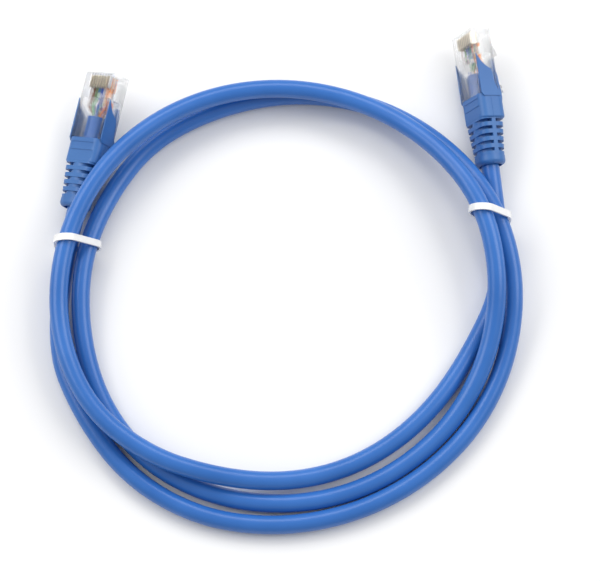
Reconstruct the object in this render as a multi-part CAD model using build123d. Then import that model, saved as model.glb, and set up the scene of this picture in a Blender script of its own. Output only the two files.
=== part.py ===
"""Ethernet patch cable with two 8P8C plugs, wound into a loose coil of two and two thirds turns and
held by two white ties. Millimetres, +Z up, the coil lies on the plane Z = 0.

Each plug is modelled in its own frame: +Y to the nose, +Z to the contact side, -Z to the latch side,
with the origin on the cable's axis in the plane of the boot's front face."""
from build123d import *
from math import atan2, cos, degrees, pi, radians, sin, tan
import os

# ---- cable ----
JACKET_OD = 5.4
JACKET_WALL = 0.55
WIRE_OD = 0.9
WIRE_BORE = 0.5
COPPER_OD = 0.44
WIRE_RING = 1.4  # distance of the eight wires from the cable's axis
FAN_RADIUS = 1.5
# the wires from the plug's +X side to its -X side, each with its place in the ring
WIRES = [("white_orange", 3), ("orange", 4), ("white_green", 2), ("blue", 5), ("white_blue", 1), ("green", 6),
         ("white_brown", 0), ("brown", 7)]
ARC_SHARE = 0.45  # share of the shorter run that each arc takes up

# ---- coil: one point every 20 degrees, clockwise from +Y, as radius and height ----
TURN_STEP = 20.0
FIRST_ANGLE = 82.0
LAP_ONE = [
    (65.0, 2.8), (55.8, 2.8), (52.0, 2.8), (50.5, 2.8), (50.5, 3.3), (51.6, 5.2),
    (54.2, 7.8), (59.5, 9.2), (64.6, 9.3), (66.7, 9.8), (67.8, 11.6), (68.3, 14.0),
    (68.9, 12.6), (69.2, 10.0), (68.4, 9.4), (67.2, 10.4), (65.8, 13.4), (64.8, 16.6),
]
LAP_TWO = [
    (62.8, 13.8), (61.1, 7.8), (59.3, 3.2), (58.0, 2.8), (57.7, 2.8), (57.9, 2.8),
    (59.1, 2.8), (60.5, 2.8), (60.7, 2.8), (60.6, 4.0), (61.8, 7.0), (63.6, 4.8),
    (66.8, 3.4), (67.3, 2.8), (68.9, 2.8), (70.0, 3.6), (69.4, 7.2), (69.0, 11.4),
]
LAP_THREE = [
    (68.2, 9.0), (66.7, 3.9), (65.1, 2.8), (63.7, 2.8), (63.4, 2.8), (64.2, 2.8),
    (66.1, 2.8), (67.1, 2.8), (66.9, 2.8), (69.0, 2.8),
]
COIL_CENTRE = (0.247, -9.907, -0.1)  # puts the middle of the model's base on the origin

# ---- plug housing, standard 8P8C sizes ----
PLUG_WIDTH = 11.68
PLUG_HEIGHT = 6.6
PLUG_LENGTH = 21.46
NOSE_Y = 20.5  # nose to the boot's front face
SPIGOT = (10.6, 5.6)  # the housing's rear end, inside the boot
SPIGOT_GAP = 0.1
CAVITY = (9.4, 5.7)
CAVITY_END_Y = 12.8
ROW_SLOT = (8.5, 1.1, 19.4)  # width, height and end of the slot for the flat row of wires
ROW_Z = 0.4
PITCH = 1.02
BLADE_THICK = 0.3
BLADE_BACK_Y = 15.9
BLADE_FRONT_Y = 19.9
BLADE_TOP_Z = 2.8
SLOT_GAP = 0.05
JACKET_END_Y = 7.0
WIRE_END_Y = 19.2

# ---- latch lever ----
PIVOT = (18.3, -3.95)  # Y and Z of the hinge line
LATCH_SLOPE = 7.5  # degrees away from the housing at rest
LATCH_THICK = 0.8
HOOK_WIDTH = 6.2
HOOK_LENGTH = 6.0
TAB_WIDTH = 3.25
LATCH_LENGTH = 17.2

# ---- boot ----
BOOT_WIDTH = 12.2
BOOT_TOP = 3.7  # contact side of the boot, from the axis
BOOT_BOTTOM = -4.6  # latch side of the boot
BOOT_BODY = 7.6
RIB_PITCH = 2.2
SLOT_WIDTH = 1.0
RIBS = 5
COLLAR = (9.4, 8.4, 2.45)  # width, height and length
SLEEVE_RADIUS = 3.7
BEND_Y = -22.5  # the cable's first bend, just outside the collar
BOOT_BORE_GAP = 0.12
BOOT_FLARE = (10.0, 0.5)  # how far in the bore starts to widen, and by how much at the end
WING_X = (2.5, 3.6)
PLATE_X = (5.9, 6.3)

# ---- where the two plugs lie: nose, turn about Z, nose-up pitch, roll onto the latch side ----
PLUG_A = dict(nose=(55.5, 85.4, 9.3), azimuth=7.6, pitch=4.5, roll=-65.0)
PLUG_B = dict(nose=(-53.3, 71.4, 10.3), azimuth=-13.2, pitch=7.0, roll=-33.0)

# ---- ties: a point of each tie's upright plane and the compass angle of its normal ----
TIE_RIGHT = dict(point=(61.0, 27.2), heading=2.0)
TIE_LEFT = dict(point=(-66.0, 19.3), heading=-1.0)
TIE_WIDTH = 2.0
TIE_THICK = 0.6
TIE_GAP = 0.15
TIE_CORE = 0.25  # side of the steel wire's section


def coil_points():
    """The coil's corners, turn after turn, from the tie beside plug A to the last one before plug B."""
    points = []
    for index, (radius, height) in enumerate(LAP_ONE + LAP_TWO + LAP_THREE):
        angle = radians(FIRST_ANGLE + index * TURN_STEP)
        x = COIL_CENTRE[0] + radius * sin(angle)
        y = COIL_CENTRE[1] + radius * cos(angle)
        points.append(Vector(x, y, COIL_CENTRE[2] + height))
    return points


def plug_location(nose, azimuth, pitch, roll):
    """From the plug's own frame to where it lies."""
    x, y, z = nose
    place = Location((COIL_CENTRE[0] + x, COIL_CENTRE[1] + y, COIL_CENTRE[2] + z))
    turn = Location((0, 0, 0), (0, 0, 1), azimuth)
    tip = Location((0, 0, 0), (1, 0, 0), pitch)
    lean = Location((0, 0, 0), (0, 1, 0), roll)
    return place * turn * tip * lean * Location((0, -NOSE_Y, 0))


def put(location, x, y, z):
    """A point of the plug's own frame in the model's frame."""
    return (location * Location((x, y, z))).position


def bend_radii(points):
    """Each arc's radius, from the two runs that meet at its corner."""
    radii = []
    for before, corner, after in zip(points, points[1:], points[2:]):
        half_turn = radians((corner - before).get_angle(after - corner)) / 2
        shorter = min((corner - before).length, (after - corner).length)
        radii.append(ARC_SHARE * shorter / tan(half_turn))
    return radii


def offset_route(points, radii, side, lay=0.0):
    """The same route moved sideways by a vector that turns about it by the same small angle at each bend."""
    moved, moved_radii = [points[0] + side], []
    for before, corner, after, radius in zip(points, points[1:], points[2:], radii):
        into, out = (corner - before).normalized(), (after - corner).normalized()
        axis = into.cross(out).normalized()
        inward = axis.cross(into)
        depth, rise = side.dot(inward), side.dot(axis)
        new_inward = axis.cross(out)
        half_turn = radians(into.get_angle(out)) / 2
        middle = (inward + new_inward).normalized()
        moved.append(corner + axis * rise + middle * (depth / cos(half_turn)))
        moved_radii.append(radius - depth)
        side = (axis * rise + new_inward * depth).rotate(Axis((0, 0, 0), out), lay)
    moved.append(points[-1] + side)
    return moved, moved_radii, side


def rod(points, radii, outer, bore=0.0):
    """A round rod or tube along straight runs joined by tangent arcs."""
    path = FilletPolyline(*points, radius=radii)
    start = Plane(origin=points[0], z_dir=points[1] - points[0])
    body = sweep(start * Circle(outer / 2), path=path)
    if bore:
        body -= sweep(start * Circle(bore / 2), path=path)
    return body, path


def rounded_bar(width, bottom, top, back, front, corner):
    """A bar along Y with rounded long edges."""
    section = Plane.XZ.offset(-front) * Pos(0, (top + bottom) / 2) * RectangleRounded(width, top - bottom, corner)
    return extrude(section, front - back)


def side_shape(outline, x_from, x_to):
    """A shape drawn in Y and Z, from one X to another."""
    face = Plane.YZ.offset(x_from) * make_face(Polyline(*outline, close=True))
    return extrude(face, x_to - x_from)


def make_housing():
    """The clear housing: open at the rear, with slots for the wires and the eight blades."""
    half = PLUG_HEIGHT / 2
    body = rounded_bar(PLUG_WIDTH, -half, half, 0, NOSE_Y, 0.35)
    body = chamfer(body.faces().sort_by(Axis.Y)[-1].edges(), 0.3)
    body += Pos(0, 0.02 - (PLUG_LENGTH - NOSE_Y) / 2, 0) * Box(SPIGOT[0], PLUG_LENGTH - NOSE_Y + 0.04, SPIGOT[1])
    # hinge block under the nose, behind which the lever's knuckle sits
    block = [(18.85, -half + 0.2), (18.85, -4.2), (19.3, -4.5), (20.0, -4.5), (20.3, -4.1), (20.3, -half + 0.2)]
    body += side_shape(block, -HOOK_WIDTH / 2, HOOK_WIDTH / 2)
    rear = NOSE_Y - PLUG_LENGTH
    cavity_long = CAVITY_END_Y - rear + 0.1
    body -= Pos(0, CAVITY_END_Y - cavity_long / 2, 0) * Box(CAVITY[0], cavity_long, CAVITY[1])
    slot_long = ROW_SLOT[2] - CAVITY_END_Y + 0.1
    body -= Pos(0, ROW_SLOT[2] - slot_long / 2, ROW_Z) * Box(ROW_SLOT[0], slot_long, ROW_SLOT[1])
    # blade slots, open on top and at the nose
    deep = half + 1.0 - ROW_Z
    for index in range(8):
        x = (index - 3.5) * PITCH
        wide, long = BLADE_THICK + 2 * SLOT_GAP, BLADE_FRONT_Y - BLADE_BACK_Y + 2 * SLOT_GAP
        middle = (BLADE_FRONT_Y + BLADE_BACK_Y) / 2
        body -= Pos(x, middle, ROW_Z + deep / 2) * Box(wide, long, deep)
        body -= Pos(x, NOSE_Y, 1.3 + 1.5) * Box(wide, 2.0, 3.0)
    # crimp recesses on the latch side
    body -= Pos(0, 4.2, -half) * Box(6.4, 2.6, 0.4)
    body -= Pos(0, 9.0, -half) * Box(7.6, 1.4, 0.4)
    return body


def make_latch():
    """The lever, drawn level with its knuckle on the hinge line, then sloped away to its rest angle."""
    y, z = PIVOT
    low = z - LATCH_THICK / 2
    high = z + LATCH_THICK / 2
    hook = [(y, high), (y, low), (y - 1.4, low), (y - HOOK_LENGTH + 0.5, low - 1.0), (y - HOOK_LENGTH, low - 0.9),
            (y - HOOK_LENGTH, high)]
    lever = side_shape(hook, -HOOK_WIDTH / 2, HOOK_WIDTH / 2)
    tip = y - LATCH_LENGTH
    tab = [(y - 1.0, high), (y - 1.0, low), (tip + 2.6, low), (tip + 2.2, low - 0.7), (tip + 1.5, low - 0.7),
           (tip + 1.3, low - 0.35), (tip + 0.9, low - 0.35), (tip + 0.7, low - 0.7), (tip, low - 0.7), (tip, high)]
    lever += side_shape(tab, -TAB_WIDTH / 2, TAB_WIDTH / 2)
    knuckle = Location((0, y, z), (0, 1, 0), 90) * Cylinder(LATCH_THICK / 2, HOOK_WIDTH)
    lever += knuckle
    return lever.rotate(Axis((0, y, z), (1, 0, 0)), LATCH_SLOPE)


def make_blade(x):
    """A gold contact blade with three teeth at the bottom and a rounded front corner."""
    back, front, top, root = BLADE_BACK_Y, BLADE_FRONT_Y, BLADE_TOP_Z, ROW_Z + 0.62
    outline = [(back, top - 0.4), (back, root)]
    for tooth in range(3):
        start = back + 0.35 + tooth * 1.15
        outline += [(start, root), (start + 0.5, ROW_Z + 0.06), (start + 1.0, root)]
    outline += [(front, root), (front, top - 0.9), (front - 0.25, top - 0.3), (front - 0.8, top), (back + 0.4, top)]
    return side_shape(outline, x - BLADE_THICK / 2, x + BLADE_THICK / 2)


def make_boot():
    """The strain-relief boot: body, slotted neck, collar and the two wings beside the lever."""
    body = rounded_bar(BOOT_WIDTH, BOOT_BOTTOM, BOOT_TOP, -BOOT_BODY, 0, 2.3)
    body = fillet(body.faces().sort_by(Axis.Y)[0].edges(), 0.6)
    neck_front, neck_back = -BOOT_BODY + 0.8, -BOOT_BODY - RIBS * RIB_PITCH - 0.2
    wide = Plane.XZ.offset(-neck_front) * Pos(0, -0.2) * RectangleRounded(BOOT_WIDTH - 0.9, 7.7, 1.9)
    slim = Plane.XZ.offset(-neck_back) * RectangleRounded(COLLAR[0] - 0.4, COLLAR[1] - 0.4, 3.5)
    body += loft([wide, slim])
    end = neck_back - COLLAR[2]
    collar = rounded_bar(COLLAR[0], -COLLAR[1] / 2, COLLAR[1] / 2, end, neck_back + 0.1, 3.9)
    collar = fillet(collar.faces().sort_by(Axis.Y)[0].edges(), 1.3)
    body += collar
    # wings either side of the lever, plates along the housing's narrow sides, and the mould seams
    wing = [(11.2, -3.45), (11.2, -3.75), (8.5, -4.2), (6.0, -4.9), (3.8, -5.0), (1.9, -5.3), (0.6, -5.4),
            (-0.8, -5.4), (-2.6, -5.1), (-5.2, -4.0), (-5.2, -3.6), (-0.01, -3.6), (-0.01, -3.45)]
    plate = [(12.2, 3.1), (10.8, 2.4), (9.5, 1.6), (8.5, 0.6), (7.7, -0.6), (7.1, -1.3), (6.0, -1.6), (3.8, -1.7),
             (2.0, -2.1), (0.6, -3.0), (0, -3.5), (-1.0, -3.3), (-1.0, 2.4), (0, 3.1)]
    for sign in (-1, 1):
        x_from, x_to = sorted((sign * WING_X[0], sign * WING_X[1]))
        body += side_shape(wing, x_from, x_to)
        x_from, x_to = sorted((sign * PLATE_X[0], sign * PLATE_X[1]))
        body += side_shape(plate, x_from, x_to)
        body += Pos(sign * BOOT_WIDTH / 2, -BOOT_BODY / 2, 0) * Box(0.16, BOOT_BODY - 0.6, 0.3)
    # slots that leave a sleeve round the cable and a spine along each narrow side
    for index in range(RIBS):
        y = -BOOT_BODY - 0.75 - index * RIB_PITCH
        slot = Pos(0, y, 0) * Box(16, SLOT_WIDTH, 16)
        slot -= Pos(0, y, 0) * Rot(90, 0, 0) * Cylinder(SLEEVE_RADIUS, 2)
        slot -= Pos(0, y, 0) * Box(17, 1, 1.3)
        body -= slot
    # shallow panel steps on the wide face
    body -= Pos(0, -1.9, BOOT_TOP) * Box(8.6, 1.2, 0.3)
    body -= Pos(0, -5.0, BOOT_TOP) * Box(9.6, 2.6, 0.3)
    bore = JACKET_OD / 2 + BOOT_BORE_GAP
    body -= Pos(0, -15, 0) * Rot(90, 0, 0) * Cylinder(bore, 40)
    flare_long = -end - BOOT_FLARE[0] + 0.2
    flare = Cone(bore + BOOT_FLARE[1], bore, flare_long)
    body -= Pos(0, end - 0.2 + flare_long / 2, 0) * Rot(-90, 0, 0) * flare
    pocket = PLUG_LENGTH - NOSE_Y + SPIGOT_GAP
    body -= Pos(0, 0.1 - pocket / 2, 0) * Box(SPIGOT[0] + 0.2, pocket + 0.2, SPIGOT[1] + 0.2)
    return body


def wire_points(place, x, ring_x, ring_z):
    """A wire's corners inside a plug, from its end near the nose back to the jacket."""
    corners = [(x, WIRE_END_Y, ROW_Z), (x, 12.6, ROW_Z), (x, 10.4, ring_z), (ring_x, 8.0, ring_z)]
    return [put(place, *corner) for corner in corners]


def crossings(path, tie):
    """Where the cable's axis passes through a tie's plane, and how squarely, near the tie's point."""
    point = Vector(COIL_CENTRE[0] + tie["point"][0], COIL_CENTRE[1] + tie["point"][1], 0)
    normal = Vector(sin(radians(tie["heading"])), cos(radians(tie["heading"])), 0)
    found = []
    for edge in path.edges():
        low, high = 0.0, 1.0
        before = (edge.position_at(low) - point).dot(normal)
        after = (edge.position_at(high) - point).dot(normal)
        if before * after > 0 or (edge.position_at(0.5) - point).length > 40:
            continue
        for _ in range(40):
            middle = (low + high) / 2
            if (edge.position_at(middle) - point).dot(normal) * before > 0:
                low = middle
            else:
                high = middle
        found.append((edge.position_at(low), abs(edge.tangent_at(low).dot(normal))))
    return found, point, normal


def make_tie(path, tie):
    """A plastic-covered wire tie drawn snugly round the strands, and the steel wire inside it."""
    found, point, normal = crossings(path, tie)
    across = Vector(0, 0, 1).cross(normal)
    plane = Plane(origin=point, x_dir=across, z_dir=normal)

    def hull(gap):
        rings = []
        for place, squareness in found:
            local = plane.to_local_coords(place)
            slant = TIE_WIDTH / 2 * (1 - squareness**2) ** 0.5
            half_wide = (JACKET_OD / 2 + slant) / squareness + gap
            rings.append(Pos(local.X, local.Y) * Circle(half_wide).edge())
        return make_hull(rings)

    band = extrude(plane * hull(TIE_GAP + TIE_THICK), TIE_WIDTH / 2, both=True)
    band -= extrude(plane * hull(TIE_GAP), TIE_WIDTH, both=True)
    inside = TIE_GAP + TIE_THICK / 2 - TIE_CORE / 2
    core = extrude(plane * hull(inside + TIE_CORE), TIE_CORE / 2, both=True)
    core -= extrude(plane * hull(inside), TIE_CORE, both=True)
    band -= core
    return band, core


def main():
    os.makedirs("parts", exist_ok=True)
    solids = {}
    place_a, place_b = plug_location(**PLUG_A), plug_location(**PLUG_B)
    route = [put(place_a, 0, JACKET_END_Y, 0), put(place_a, 0, BEND_Y, 0)]
    route += coil_points()
    route += [put(place_b, 0, BEND_Y, 0), put(place_b, 0, JACKET_END_Y, 0)]
    radii = bend_radii(route)
    print("cord radii:", [round(radius, 1) for radius in radii], "smallest", round(min(radii), 1))
    jacket, path = rod(route, radii, JACKET_OD, JACKET_OD - 2 * JACKET_WALL)
    section = pi / 4 * (JACKET_OD**2 - (JACKET_OD - 2 * JACKET_WALL) ** 2)
    print("jacket length", round(path.length, 1), "volume", round(jacket.volume, 1), "section x length",
          round(section * path.length, 1))
    solids["cable_jacket"] = jacket

    # the turn that the wires take along the cable so that they arrive in order at plug B
    x_a = put(place_a, 1, 0, 0) - put(place_a, 0, 0, 0)
    z_a = put(place_a, 0, 0, 1) - put(place_a, 0, 0, 0)
    x_b = put(place_b, 1, 0, 0) - put(place_b, 0, 0, 0)
    z_b = put(place_b, 0, 0, 1) - put(place_b, 0, 0, 0)
    _, _, arrival = offset_route(route, radii, x_a)
    lay = degrees(atan2(arrival.dot(z_b), arrival.dot(x_b))) / len(radii)
    print("turn of the wires per bend:", round(lay, 2), "degrees")
    blades = [make_blade((index - 3.5) * PITCH) for index in range(8)]
    for index, (name, ring) in enumerate(WIRES):
        x, angle = (3.5 - index) * PITCH, radians(18 + 45 * ring)
        ring_x, ring_z = -WIRE_RING * cos(angle), WIRE_RING * sin(angle)
        corners, corner_radii, _ = offset_route(route, radii, x_a * ring_x + z_a * ring_z, lay)
        points = wire_points(place_a, x, ring_x, ring_z) + corners[1:-1]
        points += wire_points(place_b, x, ring_x, -ring_z)[::-1]
        all_radii = [FAN_RADIUS] * 3 + corner_radii + [FAN_RADIUS] * 3
        insulation, wire_path = rod(points, all_radii, WIRE_OD, WIRE_BORE)
        copper, _ = rod(points, all_radii, COPPER_OD)
        # the blade's teeth pierce the insulation down to the copper
        long = WIRE_END_Y - BLADE_BACK_Y - 0.3
        notch = Pos(x, WIRE_END_Y - long / 2 + 0.1, ROW_Z + 0.5) * Box(BLADE_THICK + 0.06, long + 0.2, 1.0)
        for place in (place_a, place_b):
            insulation -= place * notch
            copper -= place * notch
        solids["wire_" + name] = insulation
        solids["conductor_" + name] = copper
        print(name, "length", round(wire_path.length, 1))

    housing, latch, boot = make_housing(), make_latch(), make_boot()
    for side, place in (("a", place_a), ("b", place_b)):
        solids["plug_housing_" + side] = place * housing
        solids["latch_lever_" + side] = place * latch
        solids["boot_" + side] = place * boot
        for index, blade in enumerate(blades):
            solids["contact_blade_%s%d" % (side, index + 1)] = place * blade
        pivot = put(place, 0, *PIVOT)
        axis = put(place, 1, 0, 0) - put(place, 0, 0, 0)
        print("latch", side, "pivot", [round(value / 1000, 6) for value in pivot], "axis",
              [round(-value, 6) for value in axis])
        print("nose", side, [round(value / 1000, 6) for value in put(place, 0, NOSE_Y, -1)], "axis",
              [round(value, 6) for value in put(place, 0, 1, 0) - put(place, 0, 0, 0)])

    for side, tie in (("a", TIE_RIGHT), ("b", TIE_LEFT)):
        solids["tie_" + side], solids["tie_wire_" + side] = make_tie(path, tie)

    low, high = [1e9] * 3, [-1e9] * 3
    for name, shape in solids.items():
        pieces = shape.solids()
        if len(pieces) != 1:
            print("not one solid:", name, len(pieces))
        box = pieces[0].bounding_box()
        low = [min(a, b) for a, b in zip(low, box.min)]
        high = [max(a, b) for a, b in zip(high, box.max)]
        export_step(pieces[0], "parts/" + name + ".step")
    print("box", [round(value, 3) for value in low], [round(value, 3) for value in high], "middle",
          [round((a + b) / 2, 3) for a, b in zip(low, high)])


main()
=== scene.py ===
"""The looks of a coiled blue ethernet patch cable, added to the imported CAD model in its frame, in metres."""

from math import cos, pi, radians, sin

import bpy
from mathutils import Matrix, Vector


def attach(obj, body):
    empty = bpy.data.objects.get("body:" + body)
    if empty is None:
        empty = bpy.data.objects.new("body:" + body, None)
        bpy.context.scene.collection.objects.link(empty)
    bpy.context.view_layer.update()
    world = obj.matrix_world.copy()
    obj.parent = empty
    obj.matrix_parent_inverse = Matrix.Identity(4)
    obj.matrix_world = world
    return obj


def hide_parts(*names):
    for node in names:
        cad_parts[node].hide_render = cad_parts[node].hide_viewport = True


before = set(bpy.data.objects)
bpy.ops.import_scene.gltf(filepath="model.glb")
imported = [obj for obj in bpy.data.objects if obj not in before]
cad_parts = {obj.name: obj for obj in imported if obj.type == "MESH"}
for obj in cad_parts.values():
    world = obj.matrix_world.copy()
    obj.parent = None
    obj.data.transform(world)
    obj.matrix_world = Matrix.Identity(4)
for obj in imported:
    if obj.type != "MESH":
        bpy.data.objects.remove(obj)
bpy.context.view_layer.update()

MM = 0.001
CABLE_OD = 5.4 * MM
CONTACTS = 8

# ---- floor, light and camera ----
FLOOR_SIZE = 6
SKY_STRENGTH = 0.47
# name, place, width, height and power of each softbox; all face the middle of the floor
SOFTBOXES = [
    ("left", (-0.7, 0.25, 0.7), 0.7, 0.6, 4.1),
    ("right", (0.7, 0.2, 0.7), 0.7, 0.6, 4.3),
    ("back", (-0.05, 0.65, 0.75), 1.0, 0.4, 3.8),
]
ELEVATION = radians(74)
DISTANCE = 0.7
SHIFT_RIGHT, SHIFT_UP = 0.00412, 0.00632  # from the coil's middle to the middle of the view
IMAGE_WIDTH = 600
PIXELS_PER_METRE = 3400
SENSOR_WIDTH = 36

# ---- the cable's route, as in part.py ----
TURN_STEP = 20.0
FIRST_ANGLE = 82.0
COIL_CENTRE = (0.247, -9.907, -0.1)
LAP_ONE = [
    (65.0, 2.8), (55.8, 2.8), (52.0, 2.8), (50.5, 2.8), (50.5, 3.3), (51.6, 5.2),
    (54.2, 7.8), (59.5, 9.2), (64.6, 9.3), (66.7, 9.8), (67.8, 11.6), (68.3, 14.0),
    (68.9, 12.6), (69.2, 10.0), (68.4, 9.4), (67.2, 10.4), (65.8, 13.4), (64.8, 16.6),
]
LAP_TWO = [
    (62.8, 13.8), (61.1, 7.8), (59.3, 3.2), (58.0, 2.8), (57.7, 2.8), (57.9, 2.8),
    (59.1, 2.8), (60.5, 2.8), (60.7, 2.8), (60.6, 4.0), (61.8, 7.0), (63.6, 4.8),
    (66.8, 3.4), (67.3, 2.8), (68.9, 2.8), (70.0, 3.6), (69.4, 7.2), (69.0, 11.4),
]
LAP_THREE = [
    (68.2, 9.0), (66.7, 3.9), (65.1, 2.8), (63.7, 2.8), (63.4, 2.8), (64.2, 2.8),
    (66.1, 2.8), (67.1, 2.8), (66.9, 2.8), (69.0, 2.8),
]
CABLE_START = [(0.057527, 0.062153, 0.008141), (0.061416, 0.033002, 0.005826)]
CABLE_END = [(-0.062799, 0.019941, 0.00496), (-0.056113, 0.048448, 0.008555)]


def route():
    """The cable's corners from inside plug A, round the coil, to inside plug B."""
    points = list(CABLE_START)
    for index, (radius, height) in enumerate(LAP_ONE + LAP_TWO + LAP_THREE):
        angle = radians(FIRST_ANGLE + index * TURN_STEP)
        x = COIL_CENTRE[0] + radius * sin(angle)
        y = COIL_CENTRE[1] + radius * cos(angle)
        points.append((x * MM, y * MM, (COIL_CENTRE[2] + height) * MM))
    return points + CABLE_END


# ---- materials ----
def new_material(name, color, roughness, **values):
    """A Principled material, with its nodes, links and shader; values are its other inputs by name."""
    material = bpy.data.materials.new(name)
    material.use_nodes = True
    nodes, links = material.node_tree.nodes, material.node_tree.links
    shader = nodes["Principled BSDF"]
    shader.inputs["Base Color"].default_value = (*color, 1)
    shader.inputs["Roughness"].default_value = roughness
    for key, value in values.items():
        shader.inputs[key.replace("_", " ")].default_value = value
    return material, nodes, links, shader


def noise(nodes, links, scale, detail=3.0, stretch=(1, 1, 1)):
    """Noise in the model's own coordinates, in metres, so that scale is in features per metre."""
    coords = nodes.new("ShaderNodeTexCoord")
    mapping = nodes.new("ShaderNodeMapping")
    mapping.inputs["Scale"].default_value = stretch
    texture = nodes.new("ShaderNodeTexNoise")
    texture.inputs["Scale"].default_value = scale
    texture.inputs["Detail"].default_value = detail
    links.new(coords.outputs["Object"], mapping.inputs["Vector"])
    links.new(mapping.outputs["Vector"], texture.inputs["Vector"])
    return texture.outputs["Fac"]


def ramp(nodes, links, source, low, high, start=0.3, stop=0.7):
    """Turns a 0 to 1 value into a colour between low and high."""
    blend = nodes.new("ShaderNodeValToRGB")
    blend.color_ramp.elements[0].position, blend.color_ramp.elements[1].position = start, stop
    blend.color_ramp.elements[0].color, blend.color_ramp.elements[1].color = (*low, 1), (*high, 1)
    links.new(source, blend.inputs["Fac"])
    return blend.outputs["Color"]


def bump(nodes, links, shader, source, distance, strength=1.0):
    """Raises the surface by distance, in metres, where source is 1."""
    node = nodes.new("ShaderNodeBump")
    node.inputs["Strength"].default_value = strength
    node.inputs["Distance"].default_value = distance
    links.new(source, node.inputs["Height"])
    links.new(node.outputs["Normal"], shader.inputs["Normal"])


def spread(nodes, links, shader, socket, source, low, high):
    """Varies one shader value between low and high."""
    node = nodes.new("ShaderNodeMapRange")
    node.inputs["To Min"].default_value, node.inputs["To Max"].default_value = low, high
    links.new(source, node.inputs["Value"])
    links.new(node.outputs["Result"], shader.inputs[socket])


def blue_pvc(name, dark, light, roughness, grain, depth):
    """Soft PVC, with a slow change of shade and a fine grain of the given depth."""
    material, nodes, links, shader = new_material(name, light, roughness)
    shade = noise(nodes, links, 60, 2)
    links.new(ramp(nodes, links, shade, dark, light), shader.inputs["Base Color"])
    spread(nodes, links, shader, "Roughness", noise(nodes, links, 400, 2), roughness - 0.03, roughness + 0.04)
    bump(nodes, links, shader, noise(nodes, links, grain, 3), depth)
    return material


def clear_plastic():
    """Moulded polycarbonate, clear and faintly wavy."""
    material, nodes, links, shader = new_material("clear_polycarbonate", (0.98, 0.985, 0.99), 0.08,
                                                  Transmission_Weight=1.0, IOR=1.35, Alpha=0.5)
    spread(nodes, links, shader, "Roughness", noise(nodes, links, 500, 2), 0.04, 0.16)
    bump(nodes, links, shader, noise(nodes, links, 350, 2), 0.00004, 0.5)
    return material


def gold():
    """Thin gold plate on the contact blades."""
    material, nodes, links, shader = new_material("gold_plate", (0.98, 0.9, 0.76), 0.4, Metallic=0.4)
    spread(nodes, links, shader, "Roughness", noise(nodes, links, 3000, 3, (1, 1, 6)), 0.32, 0.5)
    bump(nodes, links, shader, noise(nodes, links, 5000, 2), 0.000004)
    return material


def metal(name, color, roughness):
    """Bare drawn metal."""
    material, nodes, links, shader = new_material(name, color, roughness, Metallic=1.0)
    spread(nodes, links, shader, "Roughness", noise(nodes, links, 2500, 3), roughness - 0.06, roughness + 0.1)
    return material


def insulation(name, base, stripe=None):
    """Polyolefin insulation, plain or white with a coloured stripe broken along the wire."""
    material, nodes, links, shader = new_material(name, base, 0.38)
    mottle = noise(nodes, links, 900, 2)
    if stripe:
        band = noise(nodes, links, 420, 1)
        links.new(ramp(nodes, links, band, base, stripe, 0.5, 0.54), shader.inputs["Base Color"])
    else:
        dark = tuple(value * 0.82 for value in base)
        links.new(ramp(nodes, links, mottle, dark, base), shader.inputs["Base Color"])
    bump(nodes, links, shader, mottle, 0.00001)
    return material


def white_tie():
    """White plastic, very slightly translucent."""
    material, nodes, links, shader = new_material("white_tie_plastic", (0.86, 0.86, 0.85), 0.22)
    shader.inputs["Subsurface Weight"].default_value = 0.08
    shader.inputs["Subsurface Radius"].default_value = (0.001, 0.001, 0.001)
    shade = noise(nodes, links, 300, 2)
    links.new(ramp(nodes, links, shade, (0.8, 0.81, 0.82), (0.9, 0.9, 0.89)), shader.inputs["Base Color"])
    bump(nodes, links, shader, noise(nodes, links, 1500, 2), 0.00003)
    return material


CABLE_BLUE = blue_pvc("cable_pvc", (0.024, 0.135, 0.46), (0.036, 0.165, 0.53), 0.3, 300, 0.000006)
BOOT_BLUE = blue_pvc("boot_pvc", (0.03, 0.125, 0.37), (0.044, 0.16, 0.43), 0.42, 2500, 0.00002)
CLEAR = clear_plastic()
GOLD = gold()
COPPER = metal("copper", (0.83, 0.42, 0.26), 0.3)
STEEL = metal("steel_wire", (0.62, 0.62, 0.63), 0.35)
TIE = white_tie()
WIRE_WHITE = (0.8, 0.8, 0.78)
WIRE_COLOR = {
    "orange": (0.85, 0.26, 0.03),
    "green": (0.03, 0.32, 0.09),
    "blue": (0.03, 0.11, 0.5),
    "brown": (0.2, 0.08, 0.035),
}


def finish_for(name):
    """The material of a CAD piece; each wire has its own."""
    if name.startswith("boot"):
        return BOOT_BLUE
    if name.startswith(("plug_housing", "latch")):
        return CLEAR
    if name.startswith("contact"):
        return GOLD
    if name.startswith("conductor"):
        return COPPER
    if name.startswith("tie_wire"):
        return STEEL
    if name.startswith("tie"):
        return TIE
    if name.startswith("wire_white"):
        return insulation(name + "_skin", WIRE_WHITE, WIRE_COLOR[name.split("_")[-1]])
    if name.startswith("wire"):
        return insulation(name + "_skin", WIRE_COLOR[name.split("_")[-1]])
    return CABLE_BLUE


for name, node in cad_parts.items():
    finish = finish_for(name)
    if not node.material_slots:
        node.data.materials.append(finish)
    for material_slot in node.material_slots:
        material_slot.material = finish

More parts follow.
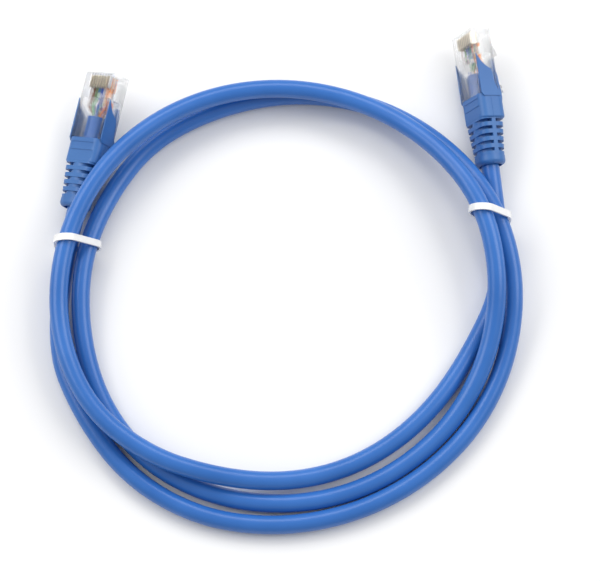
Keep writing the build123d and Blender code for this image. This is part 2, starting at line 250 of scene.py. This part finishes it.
# ---- the cable ----
curve = bpy.data.curves.new("cable", "CURVE")
curve.dimensions = "3D"
curve.resolution_u = 10
spline = curve.splines.new("NURBS")
corners = route()
spline.points.add(len(corners) - 1)
for point, corner in zip(spline.points, corners):
    point.co = (*corner, 1)
spline.order_u = 3
spline.use_endpoint_u = True
curve.bevel_depth = CABLE_OD / 2
curve.bevel_resolution = 12
curve.use_fill_caps = True
cable = bpy.data.objects.new("cable", curve)
bpy.context.collection.objects.link(cable)
curve.materials.append(CABLE_BLUE)
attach(cable, "cable")
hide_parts("cable_jacket")
plug_b = ["plug_housing_b", "latch_lever_b", "boot_b"]
plug_b += ["contact_blade_b%d" % (index + 1) for index in range(CONTACTS)]

# ---- ground ----
bpy.ops.mesh.primitive_plane_add(size=FLOOR_SIZE, location=(0, 0, 0))
ground = bpy.context.object
ground.name = "ground"
paper, nodes, links, shader = new_material("paper", (0.9, 0.9, 0.9), 0.6)
tone = noise(nodes, links, 4, 2)
links.new(ramp(nodes, links, tone, (0.88, 0.88, 0.885), (0.91, 0.91, 0.91)), shader.inputs["Base Color"])
ground.data.materials.append(paper)

# ---- light ----
world = bpy.data.worlds.new("studio")
world.use_nodes = True
sky = world.node_tree.nodes["Background"]
sky.inputs["Color"].default_value = (1, 1, 1, 1)
sky.inputs["Strength"].default_value = SKY_STRENGTH
bpy.context.scene.world = world


def softbox(name, place, width, height, power):
    """A soft rectangular light that faces the middle of the floor."""
    light = bpy.data.lights.new(name, "AREA")
    light.shape = "RECTANGLE"
    light.size, light.size_y, light.energy = width, height, power
    lamp = bpy.data.objects.new(name, light)
    bpy.context.collection.objects.link(lamp)
    lamp.location = place
    lamp.rotation_euler = (-Vector(place)).to_track_quat("-Z", "Y").to_euler()


for box in SOFTBOXES:
    softbox(*box)

# ---- camera, looking down at the coil from its open side ----
coil_middle = Vector((COIL_CENTRE[0] * MM, COIL_CENTRE[1] * MM, CABLE_OD / 2 - COIL_CENTRE[2] * MM))
forward = Vector((0, cos(ELEVATION), -sin(ELEVATION)))
up = Vector((0, sin(ELEVATION), cos(ELEVATION)))
right = Vector((1, 0, 0))
lens = bpy.data.cameras.new("camera")
lens.sensor_width = SENSOR_WIDTH
lens.lens = PIXELS_PER_METRE * DISTANCE / IMAGE_WIDTH * SENSOR_WIDTH
lens.clip_start, lens.clip_end = 0.01, 20
camera = bpy.data.objects.new("camera", lens)
bpy.context.collection.objects.link(camera)
camera.location = coil_middle + right * SHIFT_RIGHT + up * SHIFT_UP - forward * DISTANCE
camera.rotation_euler = (pi / 2 - ELEVATION, 0, 0)
bpy.context.scene.camera = camera

bpy.context.scene.view_settings.view_transform = "Standard"
